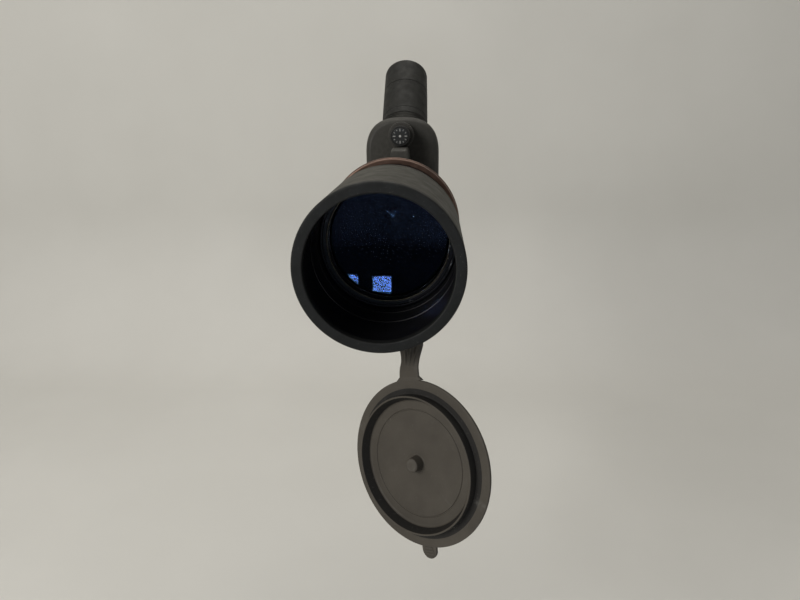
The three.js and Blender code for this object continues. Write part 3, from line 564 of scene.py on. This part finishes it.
def make_prism_housing():
    """The elbow: upright oval sections that swing round to face the eyepiece."""

    def upright(y, shrink):
        return oval_loop(HALF_WIDTH - shrink, TOP + HALF_WIDTH - 2 * shrink,
                         lambda x, h: Vector((x, y, h + shrink - HALF_WIDTH)), FULLNESS)

    rows = [oval_loop(33, 66.01, lambda x, h: Vector((x, BEND_Y, h - 33)))]
    round_over = 10
    for i in range(round_over + 1):
        bend = math.pi / 2 * i / round_over
        rows.append(upright(PIVOT_Y - 11 * math.cos(bend), 6.5 * (1 - math.sin(bend))))
    steps = 26
    for i in range(1, steps + 1):
        share = i / steps
        angle = EYEPIECE_ANGLE * share
        narrow = HALF_WIDTH + (34 - HALF_WIDTH) * share
        near = PIVOT_Z - TOP + (45.2 - PIVOT_Z + TOP) * share
        far = PIVOT_Z + HALF_WIDTH + (113.2 - PIVOT_Z - HALF_WIDTH) * share
        place = lambda x, h: Vector((x, PIVOT_Y + (far - h) * math.sin(angle),
                                     PIVOT_Z - (far - h) * math.cos(angle)))
        rows.append(oval_loop(narrow, far - near, place, FULLNESS + (1 - FULLNESS) * share))
    facet = Matrix.Rotation(EYEPIECE_ANGLE, 4, "X")
    for radius, sink in ((31, 0), (23, 0)):
        circle = oval_loop(radius, 2 * radius + 0.01, lambda x, h: Vector((x, 94.75, h - radius)))
        rows.append([Vector((0, BEND_Y, 0)) + facet @ point for point in circle])
    mesh = bmesh.new()
    skin_rows(mesh, rows)
    shell = finished("elbow_shell", mesh, SCOPE, ARMOUR, "scope", ["prism_housing"])
    add_wall(shell)


def make_neck():
    front, back = length_of("neck_housing")
    rows = []
    for y, radius in ((front, 44.4), (front, 45.2), (front + 0.6, 46.2), (front + 3, 47)):
        rows.append(oval_loop(radius, 2 * radius + 0.01,
                              lambda x, h, y=y, r=radius: Vector((x, y, h - r))))
    stations = 12
    for i in range(1, stations + 1):
        share = i / stations
        y = front + 3 + (back - front - 3) * share
        radius = 42 + 5 * (1 - share) ** 1.7
        rows.append(oval_loop(radius, 2 * radius + 0.01,
                              lambda x, h, y=y, r=radius: Vector((x, y, h - r))))
    mesh = bmesh.new()
    skin_rows(mesh, rows)
    shell = finished("neck_shell", mesh, SCOPE, ARMOUR, "scope", ["neck_housing"])
    add_wall(shell)

    # The saddle over the focusing gear, with a rounded top and a sloping nose.
    saddle = bmesh.new()
    rows = []
    nose = 7
    for y, drop, top in ((front + 0.2, 3.2, 61), (front + 1, 1.6, 61), (front + nose / 2, 0.5, 61),
                         (front + nose, 0, 61), (307.6, 0, 61), (308.6, 0.4, 61),
                         (308.6, 0, 58), (back - 0.5, 0, 58), (back, 0, 58)):
        corners = [(-10, 30, 0), (-9.4, 54 - drop, 2.5), (-8, top - drop, 1.6),
                   (8, top - drop, 1.6), (9.4, 54 - drop, 2.5), (10, 30, 0)]
        shifted = [(x + 20, z, r) for x, z, r in corners]
        rows.append([Vector((p.x - 20, y, p.y)) for p in rounded(shifted, 1)])
    skin_rows(saddle, rows, close_ends=True)
    finished("focus_saddle", saddle, SCOPE, ARMOUR, "scope", slot="armour")


# ---------------------------------------------------------------- knobs


def flutes(count, depth):
    """A wave for lathe_into(): rounded lands with narrow grooves between them."""
    return lambda angle: -depth * (0.5 - 0.5 * math.cos(count * angle)) ** 3


def make_focus_knobs():
    front, back = length_of("coarse_focus_knob")
    turned("coarse_knob_grip", [
        (3.3, front), (12.4, front, 0.4), (14.5, front + 0.4, 1.3), (14.5, back, 1), (3.3, back),
    ], KNOBS, COARSE_RUBBER, "coarse_knob", ["coarse_focus_knob"], wave=flutes(36, 0.7), sides=288)
    front = length_of("fine_focus_knob")[0]
    face = 8.9
    turned("fine_knob_grip", [
        (0, front + 0.1), (face, front + 0.1, 0.2), (face + 0.3, front, 0.3), (11, front, 1),
        (11, front + 14.6, 0.5), (1.8, front + 14.6), (1.8, 321), (0, 321),
    ], KNOBS, KNOB_RUBBER, "fine_knob", ["fine_focus_knob"], wave=flutes(30, 0.5), sides=240,
        fillet=0.2)
    badge_front, badge_back = length_of("fine_knob_badge")
    turned("fine_knob_disc", [
        (0, badge_front + 0.3), (8.6, badge_front + 0.3, 0.3), (8.6, badge_back), (0, badge_back),
    ], KNOBS, BADGE, "fine_knob", ["fine_knob_badge"], slot="print")

    marks = bmesh.new()
    tick_count = 12
    sunk = badge_front + 0.05
    proud = badge_front + 0.31
    for i in range(tick_count):
        long_tick = i % 3 == 0
        inner, width = (5, 0.8) if long_tick else (6.2, 0.5)
        bar = [(-width / 2, inner), (width / 2, inner), (width / 2, 7.9), (-width / 2, 7.9)]
        turn = Matrix.Rotation(2 * math.pi * i / tick_count, 4, "Y")
        start = len(marks.verts)
        rounded_slab(marks, bar, sunk, proud, 0.05, 1)
        marks.verts.ensure_lookup_table()
        bmesh.ops.transform(marks, matrix=turn, verts=marks.verts[start:])
    dot = 1.3
    lathe_into(marks, [Vector((0, sunk)), Vector((dot, sunk)), Vector((dot, proud)),
                       Vector((0, proud))], 48)
    finished("fine_knob_ticks", marks, KNOBS, TICKS, "fine_knob", smooth=False, slot="print")


def make_lock_knob():
    low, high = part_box("collar_lock_knob")
    middle = (low + high) / 2
    length = (high.x - low.x) / MM
    radius = (high.z - low.z) / 2 / MM
    place = Matrix.Translation((high.x, middle.y, middle.z))
    place = place @ Matrix.Rotation(math.radians(90), 4, "Z") @ Matrix.Scale(MM, 4)
    turned("lock_knob_grip", [
        (0, 0), (7, 0, 0.6), (radius, 1.5, 1.5), (radius, length - 0.5, 2.2), (6, length, 1),
        (5, length - 0.8, 0.6), (0, length - 0.8),
    ], place, KNOB_RUBBER, "lock", ["collar_lock_knob"],
        wave=lambda a: -2.4 * (0.5 - 0.5 * math.cos(8 * a)) ** 1.4, slot="dark_rubber")


# ---------------------------------------------------------------- eyepiece


def make_eyepiece():
    base = EYEPIECE_BASE
    ring_front = base + 6.7
    ring_back = base + 61.4
    barrel_end = base + 80.7
    turned("eyepiece_mount", [
        (21, base - 8.1), (31, base - 8.1, 0.3), (31, base - 1.6, 0.8), (30, base - 0.3, 0.5),
        (21, base - 0.3),
    ], EYEPIECE, DULL_METAL, "scope", ["eyepiece_socket"])
    turned("eyepiece_tube", [
        (21, base), (28.8, base, 0.6), (28.8, ring_front - 0.3, 0.5), (24, ring_front - 0.3),
        (24, ring_back + 0.3), (22, ring_back + 0.3), (22, barrel_end, 0.5), (19.4, barrel_end),
        (19.4, barrel_end - 12.2), (17, barrel_end - 12.2), (17, barrel_end - 14.5),
        (21, barrel_end - 14.5),
    ], EYEPIECE, DULL_METAL, "scope", ["eyepiece_barrel"], fillet=0.2)
    grip_front = ring_front + 8
    turned("zoom_ring_grip", [
        (24.3, ring_front), (29, ring_front, 0.5), (28.9, grip_front - 0.4, 0.2),
        (28.6, grip_front, 0.2), (28.6, grip_front + 0.8, 0.2), (28.9, grip_front + 1.2, 0.2),
        (28.4, ring_back, 0.7), (24.3, ring_back),
    ], EYEPIECE, EYEPIECE_RUBBER, "zoom_ring", ["zoom_ring"], slot="armour")
    front = ring_back + 0.5
    top = base + 99.7
    turned("eyecup_rubber", [
        (23.9, front), (28.3, front, 0.6), (27.8, top - 6, 1.5), (27.2, top - 3, 1.5),
        (25.4, top - 0.5, 1.2), (23.4, top, 0.8), (22.2, top - 0.8, 0.6), (20.6, barrel_end + 5, 1),
        (20, barrel_end + 0.5, 0.2), (23.9, barrel_end + 0.5),
    ], EYEPIECE, EYEPIECE_RUBBER, "eyecup", ["eyecup"], fillet=0.2, slot="dark_rubber")
    turned("eyepiece_lens", lens_outline(19.1, barrel_end - 11.2, barrel_end - 5.5, 2, 1.8),
           EYEPIECE, SMALL_LENS, "scope", ["eye_lens"])
    turned("eyepiece_lens_ring", [
        (17.2, barrel_end - 5.2), (19.1, barrel_end - 5.2), (19.1, barrel_end - 2),
        (18.2, barrel_end - 2, 0.3),
    ], EYEPIECE, BLACK_METAL, "scope", ["eye_lens_ring"], fillet=0.2)
    guide_front = ring_back + 1.6
    turned("eyecup_guide", sleeve(22.3, 23.6, guide_front, guide_front + 4), EYEPIECE, BRASS,
           "eyecup_guide", ["eyecup_guide_ring"])


# ---------------------------------------------------------------- cap and strap


def arc_outline(radius, centre, start, end, count):
    """Points of an arc in x and z, angles in degrees from +x."""
    spots = (math.radians(start + (end - start) * i / count) for i in range(count + 1))
    return [(radius * math.cos(a), centre + radius * math.sin(a)) for a in spots]


def make_cap():
    """A flange with a tapered plug ring on it, a flat disc inside, a boss, a lug for the strap
    and a pull tab. The ring's walls and the flange round their foot carry a darker rubber colour as
    painted shade."""
    face, back = FLANGE_FACE, FLANGE_BACK
    top = face + 7.6
    wall_foot_radius = 47.6
    shade_radius = 56
    mesh = bmesh.new()
    lathe_into(mesh, rounded([
        (0, 12), (4.4, 12, 0.4), (5.3, 11.5, 0.8), (5.8, face, 0.9), (39.6, face, 0.2),
        (39.9, face - 0.6, 0.2), (40.5, face - 0.6, 0.2), (40.8, face, 0.2), (47, face, 1.2),
        (PLUG_RADIUS - 1.3, top, 0.5), (PLUG_RADIUS - 0.3, top, 0.5), (PLUG_RADIUS, top - 0.8, 0.4),
        (PLUG_RADIUS + 0.1, face, 0.5), (shade_radius, face, 0.2), (CAP_RADIUS, face, 0.8),
        (CAP_RADIUS, back, 0.8),
        (0, back),
    ], 0.4))
    reach = CAP_RADIUS + 1.9
    lug = [(x + STRAP_SHIFT, z) for x, z in (
        (-9.2, -reach), (9.2, -reach), (12.5, 1 - CAP_RADIUS), (-12.5, 1 - CAP_RADIUS),
    )]
    rounded_slab(mesh, lug, back, face, 0.5)
    reach = CAP_RADIUS + 2
    tab = [(6.5, CAP_RADIUS - 1.2)] + arc_outline(6.5, reach, 0, 180, 20)
    tab += [(-6.5, CAP_RADIUS - 1.2)]
    rounded_slab(mesh, tab, back, face, 0.6)
    for row in range(4):
        station = reach + 4.4 - 2.2 * row
        half = 4.6 - 0.9 * abs(1.5 - row)
        bar = [(-half, station), (half, station), (half, station + 0.9), (-half, station + 0.9)]
        rounded_slab(mesh, bar, face - 0.4, face + 0.5, 0.35)
    moulding = finished("cap_rubber_moulding", mesh, CAP, CAP_RUBBER, "cap", ["objective_cap"])
    # Painted shade: faces of the plug ring's walls and of the flange out to shade_radius take the
    # darker rubber.
    moulding.data.materials.append(CAP_PAINTED_SHADE)
    to_cap = CAP.inverted()
    for side in moulding.data.polygons:
        middle = to_cap @ side.center
        from_axis = math.hypot(middle.x, middle.z)
        if wall_foot_radius < from_axis < shade_radius and face - 0.1 < middle.y < top - 0.5:
            side.material_index = 1


strap_top = Vector(JOINTS["strap_swing"]["pos_m"])
strap_run = cap_hinge - strap_top
cap_across = (CAP_TURN.to_3x3() @ Vector((1, 0, 0))).normalized()
cap_inward = (CAP_TURN.to_3x3() @ Vector((0, 0, 1))).normalized()
pad_out = Vector((strap_top.x, 0, strap_top.z - AXIS_HEIGHT)).normalized()
pad_across = pad_out.cross(Vector((0, 1, 0))).normalized()
if pad_across.dot(cap_across) < 0:
    cap_across = -cap_across


def quadratic(first, corner, last, t):
    return first * (1 - t) ** 2 + corner * 2 * t * (1 - t) + last * t**2


def strap_point(share):
    """The strap's centre line. It runs straight between its two bends, the first into the pad
    on the hood and the second into the cap's lug."""
    turn_in = 0.15
    pad_end = strap_top + Vector((0, 4.5 * MM, 0))
    first_straight = strap_top + strap_run * turn_in
    last_straight = strap_top + strap_run * (1 - turn_in)
    lug_end = cap_hinge + cap_inward * 4.5 * MM
    if share < turn_in:
        return quadratic(pad_end, strap_top, first_straight, share / turn_in)
    if share > 1 - turn_in:
        return quadratic(last_straight, cap_hinge, lug_end, (share - 1 + turn_in) / turn_in)
    return strap_top + strap_run * share


def smooth_step(low, high, value):
    t = min(max((value - low) / (high - low), 0), 1)
    return t * t * (3 - 2 * t)


def strap_width(share):
    """In mm: wide at the pad, waisted in the middle and flared at the cap."""
    upper = 19 - 4.5 * smooth_step(0.05, 0.55, share)
    return upper + 4 * smooth_step(0.62, 1, share)


def strap_piece(name, start, end, node):
    """One stretch of the ribbed strap, between two shares of its centre line. Three ribs run along
    its front and fade out towards the cap."""
    rows = []
    length_steps = 24
    width_steps = 30
    thickness = 2.2
    rib_height = 1.7
    rib_places = (-0.58, 0, 0.58)
    rib_breadth = 0.11
    for i in range(length_steps + 1):
        share = start + (end - start) * i / length_steps
        here = strap_point(share)
        ahead = (strap_point(min(share + 0.01, 1)) - strap_point(max(share - 0.01, 0))).normalized()
        across = pad_across.lerp(cap_across, smooth_step(0.1, 0.9, share))
        across = (across - ahead * across.dot(ahead)).normalized()
        face = across.cross(ahead).normalized()
        half = strap_width(share) / 2
        fade = 1 - smooth_step(0.4, 0.85, share)
        front_side = []
        back_side = []
        for k in range(width_steps + 1):
            u = -1 + 2 * k / width_steps
            thin = 1 - 0.45 * smooth_step(0.86, 1, abs(u))
            gather = 1 - 0.4 * share
            rib = sum(math.exp(-(((u - c * gather) / rib_breadth) ** 2)) for c in rib_places)
            base = here + across * ((u * half + STRAP_SHIFT * smooth_step(0, 0.15, share)) * MM)
            lift = (thickness / 2 * thin + rib_height * fade * (rib - 0.25) * thin) * MM
            front_side.append(base - face * lift)
            back_side.append(base + face * (thickness / 2 * thin * MM))
        rows.append(front_side + back_side[::-1])
    mesh = bmesh.new()
    skin_rows(mesh, rows, close_ends=True)
    for edge in mesh.edges:
        edge.smooth = all(len(face.verts) == 4 for face in edge.link_faces)
    piece = finished(name, mesh, Matrix.Identity(4), CAP_RUBBER, None, node, slot="cap_rubber")
    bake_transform(piece)


def make_strap():
    strap_piece("strap_root", 0, 0.27, [])
    strap_piece("strap_middle", 0.27, 0.73,
                ["cap_strap_upper", "cap_strap_lower"])
    strap_piece("strap_tip", 0.73, 1, [])

    low, high = length_of("cap_strap_pad")
    middle = (low + high) / 2
    angle = math.atan2(strap_top.x, AXIS_HEIGHT - strap_top.z)
    radius = HOOD_RADIUS + 0.5
    place = Matrix.Rotation(-angle, 4, "Y")
    pad = bmesh.new()
    half = 8
    outline = [(-half, low), (half, low), (half, middle + 2)]
    outline += [(half * math.cos(a), middle + 2 + (high - middle - 2) * math.sin(a))
                for a in (math.pi * i / 16 for i in range(1, 16))]
    outline += [(-half, middle + 2)]
    rounded_slab(pad, outline, 0, 2.2, 0.6)
    bmesh.ops.transform(pad, matrix=Matrix(((1, 0, 0, 0), (0, 0, 1, 0), (0, -1, 0, -radius),
                                            (0, 0, 0, 1))), verts=pad.verts)
    finished("strap_pad", pad, SCOPE @ place, CAP_RUBBER, "hood", ["cap_strap_pad"])
    stud = bmesh.new()
    lathe_into(stud, rounded([(0, 0), (4.2, 0, 0.3), (4.2, 1, 0.7), (2.6, 1.8, 0.5), (1.2, 1.8, 0.2),
                              (1.1, 1.2, 0.2), (0, 1.2)], 0.3), 64)
    sink = Matrix.Rotation(math.radians(-90), 4, "X")
    seat = Matrix.Translation((0, low + 8, -(radius + 2.4)))
    finished("strap_stud", stud, SCOPE @ place @ seat @ sink, BLACK_METAL, "hood",
             ["cap_strap_stud"])


# ---------------------------------------------------------------- stage, light and camera


def make_stage():
    """One pale sheet that is floor in front and wall behind, with a wide curve between."""
    floor = -0.42
    wall = 0.95
    bend = 0.35
    profile = [(-3.0, floor), (wall - bend, floor)]
    for i in range(1, 17):
        angle = math.pi / 2 * i / 16
        profile.append((wall - bend + bend * math.sin(angle), floor + bend * (1 - math.cos(angle))))
    profile.append((wall, 2.6))
    mesh = bmesh.new()
    sides = [[mesh.verts.new((x, y, z)) for y, z in profile] for x in (-3, 3)]
    for i in range(len(profile) - 1):
        mesh.faces.new((sides[0][i], sides[0][i + 1], sides[1][i + 1], sides[1][i]))
    for face in mesh.faces:
        face.smooth = True
    data = bpy.data.meshes.new("backdrop")
    mesh.to_mesh(data)
    mesh.free()
    backdrop = bpy.data.objects.new("backdrop", data)
    bpy.context.collection.objects.link(backdrop)
    n = Nodes("backdrop_paper")
    n.colour(n.mix(n.remap(n.noise(300), 0.3, 0.7), (0.60, 0.59, 0.555), (0.63, 0.62, 0.585)))
    n.bump((n.noise(3, 3), 0.05))
    data.materials.append(n.set(Roughness=0.85).material)


def area_light(name, place, target, size, power, tint=(1, 1, 1)):
    data = bpy.data.lights.new(name, "AREA")
    data.shape = "RECTANGLE"
    data.size, data.size_y = size
    data.energy = power
    data.color = tint
    light = bpy.data.objects.new(name, data)
    light.location = place
    light.rotation_euler = (Vector(target) - Vector(place)).to_track_quat("-Z", "Y").to_euler()
    bpy.context.collection.objects.link(light)


def make_lights():
    middle = (0, 0, AXIS_HEIGHT)
    area_light("key", (-1.5, -1.8, 1.2), middle, (1.3, 1.2), 48, (1, 0.98, 0.94))
    area_light("fill", (1.9, -1.2, 0.9), middle, (1.2, 1.2), 5, (0.96, 0.98, 1))
    area_light("top", (0, 0.6, 2.1), (0, 0.6, 0), (1.8, 1.0), 22, (1, 0.97, 0.92))
    # Two far windows in front, which the objective mirrors as small bluish squares.
    glass = (0, -0.15, AXIS_HEIGHT)
    area_light("wide_window", (-0.035, -1.041, 0.078), glass, (0.07, 0.06), 0.34, (0.6, 0.78, 1))
    area_light("narrow_window", (0.081, -1.036, 0.069), glass, (0.05, 0.055), 0.2, (0.6, 0.78, 1))
    world = bpy.data.worlds.new("room")
    world.use_nodes = True
    background = world.node_tree.nodes["Background"]
    background.inputs["Color"].default_value = (0.88, 0.87, 0.84, 1)
    background.inputs["Strength"].default_value = 0.12
    bpy.context.scene.world = world
    bpy.context.scene.view_settings.view_transform = "Standard"


def make_camera():
    """The photograph's view, from the front and above."""
    data = bpy.data.cameras.new("camera")
    data.lens = 27.05
    data.sensor_width = 36
    camera = bpy.data.objects.new("camera", data)
    camera.location = scope_point(37.2, -389.1, 107.6)
    right = Vector((0.9984, 0.0536, -0.0154)).normalized()
    forward = Vector((-0.0561, 0.9486, -0.3113)).normalized()
    up = right.cross(forward).normalized()
    turn = Matrix((right, up, -forward)).transposed()
    camera.rotation_euler = turn.to_euler()
    bpy.context.collection.objects.link(camera)
    bpy.context.scene.camera = camera


make_camera()
make_stage()
make_lights()
finish_cad_nodes()
make_hood()
make_objective()
make_main_tube()
make_prism_housing()
make_neck()
make_focus_knobs()
make_lock_knob()
make_eyepiece()
make_cap()
make_strap()
